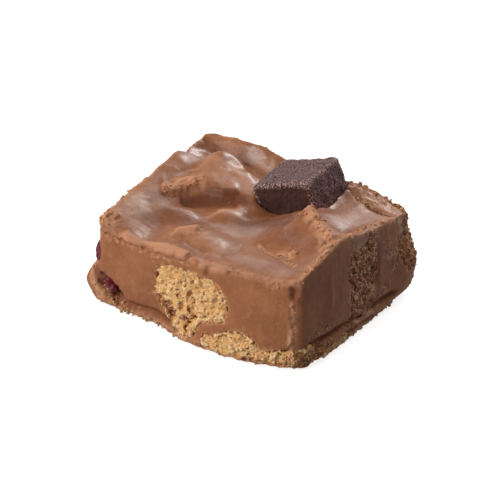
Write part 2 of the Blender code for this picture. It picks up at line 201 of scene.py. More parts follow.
# Crumbled places: view, path, reach, amount.
CRUMBLED = (
    (TOP, ((-29.4, -22.4, 25.0), (-27.2, -20.6, 26.0), (-25.6, -23.0, 24.8)), 1.8, 0.9),
    (FRONT, ((-28.4, -24.3, 22.4), (-22.9, -24.4, 22.2), (-17.8, -25.0, 21.2), (-8.3, -24.9, 21.4),
             (0.1, -25.0, 21.8)), 0.5, 0.8),
    (TOP, ((-22.2, -2.6, 27.4), (-20.4, 0.6, 27.9), (-18.2, 4.4, 27.8)), 1.9, 0.7),
    (TOP, ((-9.8, -17.0, 24.0), (-4.4, -15.2, 25.0)), 1.5, 0.35),
    (TOP, ((-29.6, -18.0, 27.4), (-29.8, -6.0, 28.8), (-29.6, 3.0, 29.6)), 1.0, 0.8),
    (TOP, ((-29.8, 4.0, 29.5), (-24.0, 5.6, 28.8), (-21.8, 8.6, 28.4)), 0.6, 0.5),
    (TOP, CRUMB_LINE, 0.6, 0.9),
    (TOP, CRUMB_PATCH, 1.1, 0.9),
    (TOP, ((18.6, 1.0, 29.4), (21.4, -1.6, 29.4), (25.0, -3.6, 28.9), (29.0, -7.6, 28.4),
           (30.4, -11.0, 27.6)), 2.0, 1.0),
    (TOP, ((31.8, -24.0, 25.1), (31.8, -12.5, 27.7), (32.0, -3.6, 28.8), (31.0, 6.6, 26.1),
           (32.6, 18.5, 24.7)), 0.8, 0.9),
    (TOP, ((3.5, -24.3, 22.7), (14.0, -24.3, 22.8), (24.3, -25.2, 23.3), (30.8, -24.3, 25.0)), 0.6, 0.7),
    (ALL, ((30.5, -25.2, 22.0), (30.5, -25.4, 14.0), (30.0, -26.0, 4.0)), 0.9, 1.0),
    (FRONT, ((-26.0, -24.5, 1.8), (-16.0, -25.5, 1.6), (-8.0, -27.0, 1.4), (0.0, -28.4, 1.2)), 1.3, 0.85),
    (ALL, ((-28.8, -23.6, 9.4), (-27.0, -24.0, 5.4), (-24.2, -24.4, 3.6)), 2.0, 0.7),
    (TOP, ((13.0, 26.4, 28.0), (24.1, 26.5, 26.3), (31.4, 26.1, 24.5)), 1.8, 0.9),
    (RIGHT, ((33.0, -22.0, 2.0), (34.5, -4.0, 1.6), (34.5, 18.0, 1.6)), 1.1, 0.9),
    (ALL, FLAP_EDGE, 1.4, 0.9),
    (TOP, ((-14.0, 27.0, 31.0), (-2.0, 27.5, 30.0), (8.0, 27.5, 28.8)), 0.9, 0.8),
    (ALL, ((34.4, 26.0, 12.0), (34.2, 26.8, 4.0)), 1.2, 0.6),
)

# How glossy the poured top is, and where it set glossier: view, path, reach, amount.
PLAIN_GLOSS = 0.22
GLOSSY = (
    (TOP, ((-26.0, -18.0, 26.0), (-25.4, -12.6, 26.6)), 4.0, 0.85),
    (TOP, ((-22.0, -19.2, 23.4), (-17.4, -19.6, 22.6)), 2.2, 0.8),
    (TOP, ((-19.0, -6.8, 24.8), (-16.6, -7.6, 24.9)), 1.6, 1.0),
    (TOP, ((-7.4, -0.6, 25.4), (-4.0, 0.6, 25.2)), 3.2, 1.0),
    (TOP, ((15.0, -4.6, 27.4), (17.0, -5.4, 27.2)), 1.6, 0.6),
    (TOP, ((-5.0, -8.6, 23.0), (1.5, -7.4, 23.0), (7.0, -6.0, 23.2)), 2.4, 0.9),
    (TOP, FACET, 2.8, 0.95),
    (TOP, ((-15.4, 17.4, 30.0), (-12.8, 16.2, 28.6), (-8.6, 13.2, 28.2), (-6.0, 10.8, 27.0)), 2.8, 1.0),
    (TOP, ((-24.4, 10.8, 29.2), (-26.2, 14.4, 29.0), (-27.8, 18.6, 27.6), (-26.4, 20.8, 27.2)), 2.2, 1.0),
    (TOP, ((-14.0, 24.2, 29.7), (-8.0, 23.4, 28.0)), 1.8, 0.9),
    (TOP, MOUND_TOP, 2.6, 0.95),
    (TOP, ((-6.1, -19.8, 23.6), (0.0, -20.6, 23.6), (5.7, -21.4, 22.8)), 0.9, 1.0),
    (TOP, ((-12.0, -4.6, 23.0), (-4.0, -5.4, 22.9), (4.6, -4.4, 23.2)), 2.2, 0.8),
    (TOP, ((8.8, -18.6, 23.0), (17.0, -19.4, 23.8), (26.0, -21.6, 24.5)), 2.2, 0.7),
    (TOP, ((24.6, 8.0, 25.4), (26.4, 15.0, 25.0), (28.4, 22.0, 24.9)), 4.8, 0.8),
    (TOP, ((18.0, 9.7, 26.7), (16.2, 17.6, 25.9), (16.7, 21.7, 26.6)), 1.0, 1.0),
    (TOP, ((16.6, -6.0, 26.4), (21.4, -7.8, 26.8)), 2.0, 0.75),
)

# Where crumbs of biscuit stick to the chocolate: view, path, reach, amount.
GOLDEN = (
    (ALL, ((30.6, -25.2, 17.0), (30.4, -25.4, 11.0), (29.8, -26.0, 5.0)), 0.7, 0.15),
    (FRONT, ((-26.0, -24.5, 1.6), (-16.0, -25.5, 1.4), (-8.0, -27.0, 1.2), (0.0, -28.4, 1.2)), 1.4, 1.0),
    (ALL, ((-28.4, -23.8, 6.4), (-26.0, -24.4, 4.0), (-24.2, -24.4, 3.6)), 1.6, 0.8),
    (FRONT, ((-28.0, -24.3, 21.4), (-22.0, -24.6, 20.8), (-16.4, -25.2, 20.3), (-8.3, -25.0, 20.6),
             (0.1, -25.2, 21.0)), 0.5, 0.7),
    (ALL, ((33.5, -16.0, 1.5), (34.4, -4.0, 2.0), (34.4, 8.0, 1.5)), 1.2, 0.6),
    (TOP, ((-29.2, -14.0, 27.9), (-29.3, -6.0, 28.4), (-29.0, 1.5, 29.2)), 0.7, 0.5),
    (ALL, ((31.0, -24.8, 2.0), (33.6, -18.0, 2.0), (34.4, -8.0, 3.0)), 1.6, 0.6),
    (ALL, ((-4.0, -28.0, 2.6), (8.0, -29.6, 1.8), (20.0, -29.6, 1.8), (30.0, -27.0, 2.2)), 1.3, 0.5),
    (TOP, ((12.0, 26.6, 28.0), (24.1, 26.8, 26.3), (31.4, 26.4, 24.5)), 2.6, 0.9),
    (ALL, ((32.6, 24.0, 24.0), (34.0, 26.0, 18.0), (34.6, 27.2, 12.0)), 1.8, 1.0),
    (TOP, ((31.2, -22.0, 25.4), (31.6, -12.5, 27.7), (31.8, -3.6, 28.8), (31.0, 6.0, 26.2),
           (32.4, 20.0, 24.8)), 0.8, 0.9),
    (ALL, ((32.0, 10.0, 25.0), (33.8, 5.3, 22.8), (33.8, 1.1, 19.8), (34.4, 3.0, 10.0)), 2.0, 0.25),
    (TOP, ((29.4, -10.5, 27.6), (30.6, -14.5, 27.0)), 1.0, 0.5),
    (TOP, CRUMB_LINE, 0.8, 0.8),
    (TOP, CRUMB_PATCH, 1.4, 1.0),
    (TOP, ((20.0, -1.0, 29.4), (25.0, -3.8, 28.9), (29.0, -7.6, 28.4)), 1.4, 0.5),
    (ALL, ((-27.5, -25.0, 3.4), (-24.0, -25.0, 2.4)), 1.2, 0.8),
    (ALL, FLAP_EDGE, 1.0, 0.5),
    (FRONT, ((-30.0, 29.0, 2.0), (-10.0, 30.0, 1.5), (20.0, 30.0, 1.5)), 1.0, 0.7),
    (RIGHT, ((-32.0, -18.0, 1.5), (-33.0, 10.0, 1.5), (-31.0, 26.0, 2.0)), 1.0, 0.7),
    (ALL, ((-12.0, -25.6, 18.0), (-6.0, -26.0, 20.0), (4.0, -26.6, 19.4), (11.0, -27.0, 13.0)), 1.0, 0.25),
)

# Holes in the biscuit: middle and size.
BISCUIT_HOLES = (
    ((-6.3, -26.6, 7.8), 1.4), ((-4.6, -26.9, 6.6), 1.2), ((-2.1, -27.2, 9.1), 1.0),
    ((1.3, -27.6, 9.4), 0.9), ((2.6, -27.8, 8.6), 1.0), ((0.6, -28.1, 6.0), 0.7),
    ((0.5, -28.3, 4.3), 0.8), ((0.9, -27.0, 13.3), 0.6), ((-2.9, -26.8, 11.8), 0.5),
    ((-11.2, -25.7, 17.4), 0.8), ((-10.6, -25.7, 15.2), 0.7), ((-9.6, -25.8, 9.2), 0.6),
)

# Browner parts of the biscuit: view, path, reach, amount.
BISCUIT_SHADES = (
    (FRONT, ((-13.4, -25.4, 19.4), (-13.6, -25.5, 14.6), (-11.6, -25.7, 10.4)), 1.5, 0.6),
    (FRONT, ((-11.0, -25.8, 19.6), (-6.0, -26.0, 19.4), (-2.0, -26.4, 17.4)), 1.5, 0.4),
    (FRONT, ((-7.6, -26.6, 8.4), (-4.6, -26.9, 6.4)), 1.7, 0.75),
    (FRONT, ((-1.6, -27.2, 6.0), (1.6, -28.0, 7.6)), 1.0, 0.7),
    (FRONT, ((16.0, -29.6, 1.6), (22.0, -29.4, 1.4), (29.0, -28.0, 1.6)), 1.2, 0.5),
    (ALL, ((30.4, -26.6, 2.5), (33.0, -20.0, 3.6), (34.4, -8.0, 5.0)), 3.0, 0.6),
    (TOP, ((11.0, 27.4, 28.0), (24.0, 27.0, 26.3), (33.0, 26.6, 24.5)), 4.0, 0.5),
)

# Where a skin of chocolate lies on the biscuit: view, path, reach, amount.
BISCUIT_SKIN = (
    (TOP, ((9.0, 22.4, 28.4), (20.0, 23.4, 27.0), (28.0, 23.0, 25.4), (34.0, 20.0, 24.6)), 2.3, 1.0),
)

# How far the chocolate has soaked into each piece of biscuit, from 0 to 1.
BISCUIT_TONES = {
    "biscuit_front": 0.0, "biscuit_base": 0.0, "biscuit_side": 0.9,
    "biscuit_back": 0.62, "biscuit_left": 0.3,
}

# How far the chocolate is drawn over the rim of each piece, at most.
DRAWN_OVER = {
    "biscuit_front": 0.9, "biscuit_base": 0.9, "biscuit_side": 1.7,
    "biscuit_back": 1.8, "biscuit_left": 1.0, "berry_corner": 2.6, "berry_left": 1.2,
}

# How far each berry stands out of its solid, on all sides.
BERRY_SWELL = {"berry_corner": -0.45, "berry_left": 0.25}

# Loose crumbs: how many, and the smallest and the largest.
CHOCOLATE_CRUMBS = (2200, 0.1, 0.42)
BISCUIT_CRUMBS = (900, 0.12, 0.65)

# What the finishes read on the loose crumbs.
CHOCOLATE_CRUMB_VALUES = {
    "cut": 1.0, "ragged": 1.0, "relief": 0.0, "golden": 0.3,
    "glossy": 0.0, "smeared": 0.6, "dark": 0.0, "laced": 0.0,
}
BISCUIT_CRUMB_VALUES = {"relief": 0.1, "tone": 0.1, "skin": 0.0}

# Where the chocolate is smeared or broken, and so paler, and where a paler colour is painted on as a
# highlight: view, path, reach, amount.
SMEARED_AND_HIGHLIGHTED = (
    # painted highlights on the crest's right slope
    (TOP, ((-13.0, 15.0, 28.8), (-8.9, 13.5, 28.4), (-6.6, 10.0, 26.9)), 2.6, 0.5),
    (TOP, ((-11.6, 21.6, 26.5), (-8.0, 22.0, 26.5)), 2.4, 0.5),
    # painted light on the left satin
    (TOP, ((-26.0, -18.0, 26.0), (-24.6, -8.0, 26.9)), 4.6, 0.35),
    (TOP, MOUND_TOP, 2.6, 0.3),
    (TOP, FACET, 2.8, 0.35),
    # painted highlight on the small bump
    (TOP, ((-6.4, -0.6, 25.4), (-4.0, 0.6, 25.2)), 1.9, 0.8),
    (TOP, ((-22.4, -2.6, 27.4), (-20.6, 0.6, 27.9), (-18.4, 4.4, 27.8)), 2.1, 1.0),
    (ALL, ((-21.6, -24.4, 22.8), (-15.2, -24.4, 22.6), (-9.4, -24.2, 22.9), (-4.0, -24.8, 23.3),
           (-0.6, -25.4, 23.2)), 1.5, 0.9),
    (ALL, ((1.8, -25.2, 22.2), (4.6, -25.8, 21.8), (9.8, -25.8, 22.4)), 1.1, 0.6),
    (ALL, ((-29.6, -22.8, 24.6), (-27.4, -21.6, 26.2), (-26.0, -23.2, 24.8)), 1.6, 0.8),
    (TOP, ((-10.6, -17.2, 24.0), (-5.0, -15.2, 25.0)), 1.2, 0.5),
    (TOP, ((-20.4, 9.6, 28.6), (-19.4, 13.0, 30.6), (-14.8, 13.4, 30.4)), 1.2, 0.5),
    (TOP, ((18.8, 1.0, 29.4), (21.6, -1.4, 29.4), (25.0, -3.4, 28.9), (28.8, -7.0, 28.5)), 1.9, 0.5),
    (TOP, ((-28.0, 24.8, 30.7), (-18.8, 26.0, 31.4), (-8.0, 26.4, 30.4), (4.0, 26.6, 29.0)), 0.9, 0.35),
)

# Painted shade: where the chocolate is darkened for the shade in its hollows, under the flake and the lip,
# round the chunk's foot, down its cracks and over the right side: view, path, reach, amount.
PAINTED_SHADE = (
    (TOP, ((1.6, -2.4, 22.9), (6.0, -1.4, 24.5), (10.0, -2.4, 26.0), (13.5, -2.0, 27.2)), 3.0, 1.0),
    (TOP, ((4.0, -5.5, 23.0), (9.0, -6.5, 24.5)), 2.6, 0.45),
    (TOP, ((15.5, -0.5, 28.6), (18.0, -1.2, 30.0)), 1.4, 0.7),
    (TOP, ((-14.0, -11.0, 23.0), (-9.0, -7.4, 22.8)), 2.6, 0.5),
    (TOP, ((-23.6, -8.6, 26.4), (-22.0, -5.6, 25.7)), 2.2, 0.4),
    (FRONT, ((-25.0, -24.4, 2.6), (-18.0, -25.6, 2.8)), 1.4, 0.6),
    (FRONT, UNDER_LIP, 0.4, 0.7),
    (TOP, ((-17.6, -1.6, 23.6), (-16.0, 0.6, 24.2), (-13.6, 2.6, 25.0), (-9.6, 4.0, 24.8),
           (-5.4, 5.8, 24.6)), 2.2, 1.0),
    (ALL, ((29.7, -24.6, 22.6), (30.7, -24.6, 21.4), (30.0, -24.7, 20.4), (30.8, -24.6, 19.2)), 0.9, 1.0),
    (TOP, ((13.0, -6.0, 26.0), (20.0, -8.5, 26.5), (26.0, -11.0, 26.8)), 3.2, 0.45),
    (TOP, ((-19.5, -14.0, 24.0), (-17.4, -8.5, 24.6)), 3.2, 0.6),
    (TOP, ((23.0, -9.0, 26.6), (27.6, -11.4, 27.2)), 2.6, 0.4),
    (FRONT, ((-25.0, -24.2, 3.8), (-17.6, -25.2, 4.2), (-11.0, -25.5, 4.5), (-4.5, -27.2, 3.6)), 0.7, 1.0),
    (RIGHT, ((33.4, 10.5, 22.0), (34.2, 9.6, 8.0)), 1.4, 0.45),
    (RIGHT, ((33.2, -5.4, 25.0), (34.0, -5.8, 8.0)), 1.5, 0.4),
    (RIGHT, ((33.0, -2.0, 25.6), (33.2, 6.0, 24.4)), 2.2, 0.6),
    (ALL, ((-27.2, 25.4, 31.2), (-26.2, 25.8, 31.4)), 0.8, 1.0),
    (RIGHT, ((33.0, -18.0, 22.0), (33.2, -9.0, 23.0), (33.6, -12.0, 12.0)), 5.0, 0.42),
    (RIGHT, ((33.4, 13.0, 21.0), (34.0, 17.0, 12.0)), 4.5, 0.35),
    (FRONT, ((-25.0, -24.4, 7.0), (-18.0, -25.0, 5.4), (-11.0, -25.6, 5.0)), 2.6, 0.3),
    (ALL, ((30.6, -25.0, 18.6), (30.7, -25.1, 12.0), (30.4, -25.6, 8.0), (30.0, -26.0, 4.0)), 0.45, 0.8),
    (ALL, ((30.6, -25.0, 14.6), (30.5, -25.2, 12.8)), 0.8, 0.8),
    (ALL, ((30.0, -25.8, 7.4), (29.8, -26.0, 5.6)), 0.7, 0.7),
    (FRONT, ((-30.0, -24.2, 10.4), (-27.6, -24.8, 7.6), (-25.2, -24.8, 4.0)), 1.5, 0.7),
    (TOP, ((-28.6, 23.0, 30.0), (-26.4, 22.6, 28.6), (-22.0, 22.6, 28.0)), 0.9, 0.5),
    (RIGHT, ((33.0, -22.7, 6.0), (34.4, -14.0, 5.8), (34.5, -7.2, 5.6), (34.5, 4.0, 4.8),
             (34.5, 18.5, 4.0)), 0.7, 0.9),
    (RIGHT, ((33.0, -20.6, 3.0), (34.4, -11.0, 2.8), (34.5, -2.0, 2.5), (34.4, 8.0, 1.8)), 0.5, 0.8),
)

# Where threads of crumb run through the chocolate: view, path, reach, amount.
LACED = (
    (RIGHT, ((33.0, 4.6, 24.6), (33.6, 4.0, 20.0), (34.4, 2.4, 12.0), (34.6, 1.0, 5.5)), 6.0, 1.0),
    (RIGHT, ((33.9, 15.0, 18.6), (34.3, 18.0, 13.0), (34.0, 22.0, 17.0)), 2.4, 0.7),
    (RIGHT, ((34.4, 14.0, 8.0), (34.6, 8.0, 6.0)), 1.6, 0.6),
    (RIGHT, ((33.4, -20.0, 8.0), (34.2, -12.0, 8.4)), 1.2, 0.6),
    (FRONT, ((-14.0, 29.5, 17.0), (-10.0, 29.5, 9.0)), 3.0, 0.8),
    (FRONT, ((14.0, 29.5, 6.0), (22.0, 29.5, 9.0)), 2.2, 0.7),
    (RIGHT, ((-32.0, -8.0, 16.0), (-32.0, -2.0, 8.0)), 2.4, 0.8),
)


def only(piece):
    """Selects one piece and nothing else."""
    bpy.ops.object.select_all(action="DESELECT")
    piece.select_set(True)
    bpy.context.view_layer.objects.active = piece


def cad_copy(node, name):
    """A copy of a CAD node's mesh with its loose triangles merged."""
    piece = bpy.data.objects.new(name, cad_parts[node].data.copy())
    bpy.context.scene.collection.objects.link(piece)
    piece.data.materials.clear()
    only(piece)
    bpy.ops.object.mode_set(mode="EDIT")
    bpy.ops.mesh.select_all(action="SELECT")
    bpy.ops.mesh.remove_doubles(threshold=1e-6)
    bpy.ops.object.mode_set(mode="OBJECT")
    return piece


def apply_modifier(piece, kind, **settings):
    only(piece)
    step = piece.modifiers.new(kind.title(), kind)
    for key, value in settings.items():
        setattr(step, key, value)
    bpy.ops.object.modifier_apply(modifier=step.name)


def remesh(piece, voxel):
    """One closed skin of even faces about `voxel` millimetres wide."""
    apply_modifier(piece, "REMESH", mode="VOXEL", voxel_size=voxel * MM)


def join(pieces):
    """Joins the later pieces into the first."""
    bpy.ops.object.select_all(action="DESELECT")
    for piece in pieces:
        piece.select_set(True)
    bpy.context.view_layer.objects.active = pieces[0]
    bpy.ops.object.join()


def ease(value):
    """0 to 1, slow at both ends."""
    value = np.clip(value, 0.0, 1.0)
    return value * value * (3 - 2 * value)


def grain(at, size, octaves=2, shift=0.0):
    """Noise about 0 at each point, with features about `size` millimetres across."""
    move = Vector((shift, -shift, shift))
    return np.array([noise.fractal(Vector(p) / size + move, 1.0, 2.0, octaves) for p in at])


def near_path(at, path, view):
    """Each point's distance to a path, how far along the path it is, and its side in plan."""
    scale = np.array(view)
    spots = at * scale
    stops = np.array(path, float) * scale
    if len(stops) == 1:
        return np.linalg.norm(spots - stops[0], axis=1), np.full(len(at), 0.5), np.zeros(len(at))
    lengths = np.linalg.norm(np.diff(stops, axis=0), axis=1)
    best = np.full(len(at), np.inf)
    along, side = np.zeros(len(at)), np.zeros(len(at))
    done = 0.0
    for a, b, length in zip(stops, stops[1:], lengths):
        run = b - a
        share = np.clip((spots - a) @ run / (run @ run), 0.0, 1.0)
        off = spots - a - share[:, None] * run
        distance = np.linalg.norm(off, axis=1)
        nearer = distance < best
        best[nearer] = distance[nearer]
        along[nearer] = ((done + share * length) / lengths.sum())[nearer]
        side[nearer] = ((run[0] * off[:, 1] - run[1] * off[:, 0]) / np.hypot(run[0], run[1]))[nearer]
        done += length
    return best, along, side


class Surface:
    """A mesh's points, normals and edges, in millimetres, to be shaped and put back."""

    def __init__(self, piece):
        self.piece = piece
        self.read()

    def read(self):
        mesh = self.piece.data
        flat = np.empty(len(mesh.vertices) * 3, np.float32)
        mesh.vertices.foreach_get("co", flat)
        self.at = flat.reshape(-1, 3).astype(float) / MM
        mesh.vertices.foreach_get("normal", flat)
        self.out = flat.reshape(-1, 3).astype(float)
        ends = np.empty(len(mesh.edges) * 2, np.int32)
        mesh.edges.foreach_get("vertices", ends)
        self.ends = ends.reshape(-1, 2)
        self.links = np.bincount(ends, minlength=len(mesh.vertices))

    def write(self):
        mesh = self.piece.data
        mesh.vertices.foreach_set("co", (self.at * MM).astype(np.float32).ravel())
        mesh.update()
        self.read()

    def spread(self, values):
        """Each point's mean of its neighbours' values."""
        first, second = self.ends.T
        count = len(self.links)
        total = np.bincount(first, values[second], count) + np.bincount(second, values[first], count)
        return total / self.links

    def blur(self, values, rounds):
        for _ in range(rounds):
            values = 0.5 * values + 0.5 * self.spread(values)
        return values

    def relax(self, rounds, share=1.0):
        """Smooths the shape, by a share at each point."""
        share = np.broadcast_to(share, len(self.at))[:, None]
        for _ in range(rounds):
            drawn = np.stack([self.spread(axis) for axis in self.at.T], axis=1)
            self.at += (drawn - self.at) * 0.5 * share

    def relief(self, rounds):
        """How far each point stands out of the smoothed shape, in millimetres."""
        soft = np.stack([self.blur(axis, rounds) for axis in self.at.T], axis=1)
        return ((self.at - soft) * self.out).sum(axis=1)

    def stroke(self, view, path, reach, lift, direction, shape, faded):
        """Lifts the shape along a path."""
        low = (np.array(path) * view).min(axis=0) - 3 * reach
        high = (np.array(path) * view).max(axis=0) + 3 * reach
        spots = self.at * view
        close = np.flatnonzero(((spots > low) & (spots < high)).all(axis=1))
        if not len(close):
            raise RuntimeError("a stroke lies off the piece")
        distance, along, side = near_path(self.at[close], path, view)
        distance = distance / reach * (1.0 + 0.2 * grain(self.at[close], 2.6, 1, reach))
        if shape == "ridge":
            rise = np.exp(-distance**2)
        elif shape == "tent":
            rise = np.clip(1.0 - distance, 0.0, 1.0)
        elif shape == "step":
            rise = ease(side / 0.7) * np.exp(-distance**2)
        elif shape == "slab":
            rise = ease((1.0 - distance * (1.0 + 0.12 * grain(self.at[close], 0.9, 1, 4.2))) * 3.5)
        else:
            rise = np.sqrt(np.clip(1.0 - distance**2, 0.0, 1.0))
        if faded:
            rise *= ease(along / faded) * ease((1.0 - along) / faded)
        way = self.out[close] if direction is None else np.array(direction)
        self.at[close] += rise[:, None] * lift * way

    def closeness(self, view, path, reach):
        """1 on a path, and down to 0 at its reach, with a ragged edge."""
        distance = near_path(self.at, path, view)[0] / reach
        return ease(1.4 - distance * (1.0 + 0.5 * grain(self.at, 1.3, 2, 9.1)))

    def painted(self, places):
        """How strongly a table of places marks each point: view, path, reach and amount in each row."""
        values = np.zeros(len(self.at))
        for view, path, reach, amount in places:
            values = np.maximum(values, amount * self.closeness(view, path, reach))
        return values

    def keep(self, name, values):
        """Stores a value for each point, for the finish to read."""
        layer = self.piece.data.attributes.new(name, "FLOAT", "POINT")
        layer.data.foreach_set("value", np.asarray(values, np.float32))


class Wire:
    """A shader socket that can be used in sums."""

    def __init__(self, finish, socket):
        self.finish = finish
        self.socket = socket

    def __add__(self, other):
        return self.finish.sum("ADD", self, other)

    def __sub__(self, other):
        return self.finish.sum("SUBTRACT", self, other)

    def __rsub__(self, other):
        return self.finish.sum("SUBTRACT", other, self)

    def __mul__(self, other):
        return self.finish.sum("MULTIPLY", self, other)

    __radd__ = __add__
    __rmul__ = __mul__


class Finish:
    """A material in the making."""

    def __init__(self, name):
        self.material = bpy.data.materials.new(name)
        self.material.use_nodes = True
        self.tree = self.material.node_tree
        self.shader = self.tree.nodes["Principled BSDF"]
        self.place = self.add("ShaderNodeTexCoord", output="Object")

    def add(self, kind, settings=None, values=None, output=0):
        node = self.tree.nodes.new(kind)
        for key, value in (settings or {}).items():
            setattr(node, key, value)
        for key, value in (values or {}).items():
            self.feed(node.inputs[key], value)
        return Wire(self, node.outputs[output])

    def feed(self, socket, value):
        if isinstance(value, Wire):
            self.tree.links.new(value.socket, socket)
        else:
            socket.default_value = value

    def set(self, **values):
        """Sets or links the shader's own sockets, named with _ for each space."""
        for key, value in values.items():
            self.feed(self.shader.inputs[key.replace("_", " ")], value)

    def sum(self, operation, first, second):
        return self.add("ShaderNodeMath", {"operation": operation}, {0: first, 1: second})

    def between(self, value, low, high):
        """0 below low, 1 above high, and eased between."""
        return self.add(
            "ShaderNodeMapRange",
            {"interpolation_type": "SMOOTHSTEP"},
            {"Value": value, "From Min": low, "From Max": high},
        )

    def mix(self, share, first, second):
        colours = [c if isinstance(c, Wire) else (*c, 1.0) for c in (first, second)]
        return self.add(
            "ShaderNodeMix",
            {"data_type": "RGBA", "clamp_factor": True},
            {0: share, 6: colours[0], 7: colours[1]},
            2,
        )

    def kept(self, name):
        """A value that the piece's points hold."""
        return self.add("ShaderNodeAttribute", {"attribute_name": name}, output="Fac")

    def noise(self, size, detail=2.0, roughness=0.5, place=None):
        values = {"Scale": 1.0 / (size * MM), "Detail": detail, "Roughness": roughness}
        values["Vector"] = place or self.place
        return self.add("ShaderNodeTexNoise", {}, values)

    def stretched(self, scale):
        return self.add("ShaderNodeMapping", {}, {"Vector": self.place, "Scale": scale})

    def cells(self, size):
        return self.add("ShaderNodeTexVoronoi", {}, {"Scale": 1.0 / (size * MM), "Vector": self.place})

    def bump(self, height, depth, strength=1.0, over=None):
        """A bump `depth` millimetres deep, on top of another."""
        values = {"Height": height, "Distance": depth * MM, "Strength": strength}
        if over:
            values["Normal"] = over
        return self.add("ShaderNodeBump", {}, values)


def lace(f):
    """Threads of crumb that run through chocolate, and the holes between them, which the finishes paint
    dark as their shade.
    """
    web = f.sum("ABSOLUTE", f.noise(1.8, 3.0, 0.6) - 0.5, 0.0)
    threads = f.between(web, 0.036, 0.016) * f.between(f.noise(2.4, 3.0, 0.6), 0.46, 0.52)
    return threads, f.between(f.noise(1.9, 3.0, 0.6), 0.45, 0.36)


def chocolate_finish(look):
    """Milk chocolate: glossy where poured, satin and streaked where cut, matte and pale where crumbled,
    with painted shade in its hollows and painted highlights.
    """
    f = Finish("milk_chocolate")
    cut = f.kept("cut")
    ragged = f.kept("ragged")
    relief = f.kept("relief")
    golden = f.kept("golden")
    broad = f.noise(7.0, 3.0)
    patch = f.noise(2.2, 4.0, 0.6)
    fine = f.noise(0.45, 3.0, 0.6)
    streak = f.noise(1.6, 3.0, 0.6, f.stretched((1.0, 1.0, 0.12)))
    colour = f.mix(f.between(broad, 0.35, 0.68), look.dark_colour, look.light_colour)
    colour = f.mix(f.between(patch, 0.45, 0.75) * 0.35, colour, look.pale_colour)
    colour = f.mix(f.between(fine, 0.52, 0.78) * (0.2 + 0.35 * cut), colour, look.pale_colour)
    # Painted shade: darker in the hollows of the surface, less so where it is crumbled.
    colour = f.mix(f.between(relief, 0.0, -0.3) * (0.5 - ragged * 0.4), colour, look.crack_shade_colour)
    colour = f.mix(ragged * f.between(patch + fine * 0.6, 0.45, 0.8), colour, look.crumb_colour)
    # Paler where smeared or broken, and painted highlights.
    colour = f.mix(f.kept("smeared") * (0.55 + 0.6 * fine), colour, look.smear_and_highlight_colour)
    # Painted shade: the places of the shade table, darkened.
    colour = f.mix(f.kept("dark") * (0.6 + 0.6 * fine), colour, look.crack_shade_colour)
    specks = f.between(f.cells(1.5), 0.13, 0.07) * f.between(f.noise(3.1, 1.0), 0.5, 0.6)
    colour = f.mix(specks, colour, look.crumb_colour)
    colour = f.mix(golden * f.between(f.noise(0.8, 2.0, 0.6), 0.42, 0.58), colour, look.golden_colour)
    threads, holes = lace(f)
    laced = f.kept("laced")
    # Painted shade: dark in the holes between the threads.
    colour = f.mix(laced * holes * 0.8, colour, look.hole_shade_colour)
    colour = f.mix(laced * threads, colour, look.thread_colour)
    gloss = f.between(patch, 0.3, 0.75)
    rough = look.poured_roughness + gloss * 0.12 + fine * 0.1
    rough = rough + cut * (look.cut_roughness - look.poured_roughness)
    rough = rough + ragged * 0.25
    waves = f.bump(f.noise(3.0, 2.0), 0.35, 0.3)
    drag = f.bump(streak * cut, 0.25, 0.5, waves)
    dents = f.bump((threads - holes) * laced, 0.3, 0.7, drag)
    grains = f.bump(fine, 0.16, 0.7, dents)
    pricks = f.between(f.cells(1.7), 0.22, 0.1) * f.between(f.noise(2.3, 1.0), 0.55, 0.62)
    pitted = f.bump(pricks, -0.25, 0.6, grains)
    coat = f.kept("glossy") * (0.72 + 0.6 * f.between(fine, 0.3, 0.7))
    f.set(Base_Color=colour, Roughness=rough, Normal=pitted, Specular_IOR_Level=0.2)
    f.set(Coat_Weight=coat, Coat_Roughness=0.27, Coat_IOR=1.75)
    f.set(Subsurface_Weight=0.12, Subsurface_Radius=(1.0, 0.45, 0.25), Subsurface_Scale=1.2 * MM)
    return f.material


def biscuit_finish(look):
    """Baked crumb: pale on its grains, with painted shade brown between them and dark down its holes."""
    f = Finish("biscuit")
    relief = f.kept("relief")
    fine = f.noise(0.35, 3.0, 0.6)
    patch = f.noise(2.4, 3.0, 0.6)
    crumb = f.noise(0.7, 3.0, 0.6)
    # Painted shade: darker down between the grains.
    colour = f.mix(f.between(relief, -0.2, -0.04), look.deep_colour, look.crumb_colour)
    colour = f.mix(f.between(relief + (crumb - 0.5) * 0.8, 0.0, 0.16) * 0.8, colour, look.pale_colour)
    browned = f.between(patch, 0.46, 0.66) * 0.85 + f.between(f.kept("tone"), 0.3, 0.6) * 0.8
    colour = f.mix(browned, colour, look.toasted_colour)
    colour = f.mix(f.between(fine, 0.52, 0.66) * 0.45, colour, look.pale_colour)
    colour = f.mix(f.between(fine, 0.42, 0.3) * 0.6, colour, look.deep_colour)
    # Painted shade: darkest down the holes.
    colour = f.mix(f.between(relief, -0.13, -0.32), colour, look.hole_shade_colour)
    soaked = f.between(f.noise(1.5, 3.0) + f.kept("tone") * 0.9, 0.8, 1.15)
    threads, holes = lace(f)
    colour = f.mix(soaked, colour, look.soaked_colour)
    # Painted shade: dark in the holes between the threads, where the chocolate has soaked in.
    colour = f.mix(soaked * holes, colour, look.hole_shade_colour)
    colour = f.mix(soaked * threads, colour, look.thread_colour)
    skin = f.kept("skin")
    colour = f.mix(skin, colour, look.skin_colour)
    rough = 0.85 - skin * 0.4
    f.set(Base_Color=colour, Roughness=rough, Normal=f.bump(fine, 0.15, 0.8), Specular_IOR_Level=0.25)
    f.set(Coat_Weight=skin * 0.5, Coat_Roughness=0.25, Coat_IOR=1.6)
    f.set(Subsurface_Weight=0.15, Subsurface_Radius=(1.0, 0.6, 0.3), Subsurface_Scale=0.8 * MM)
    return f.material


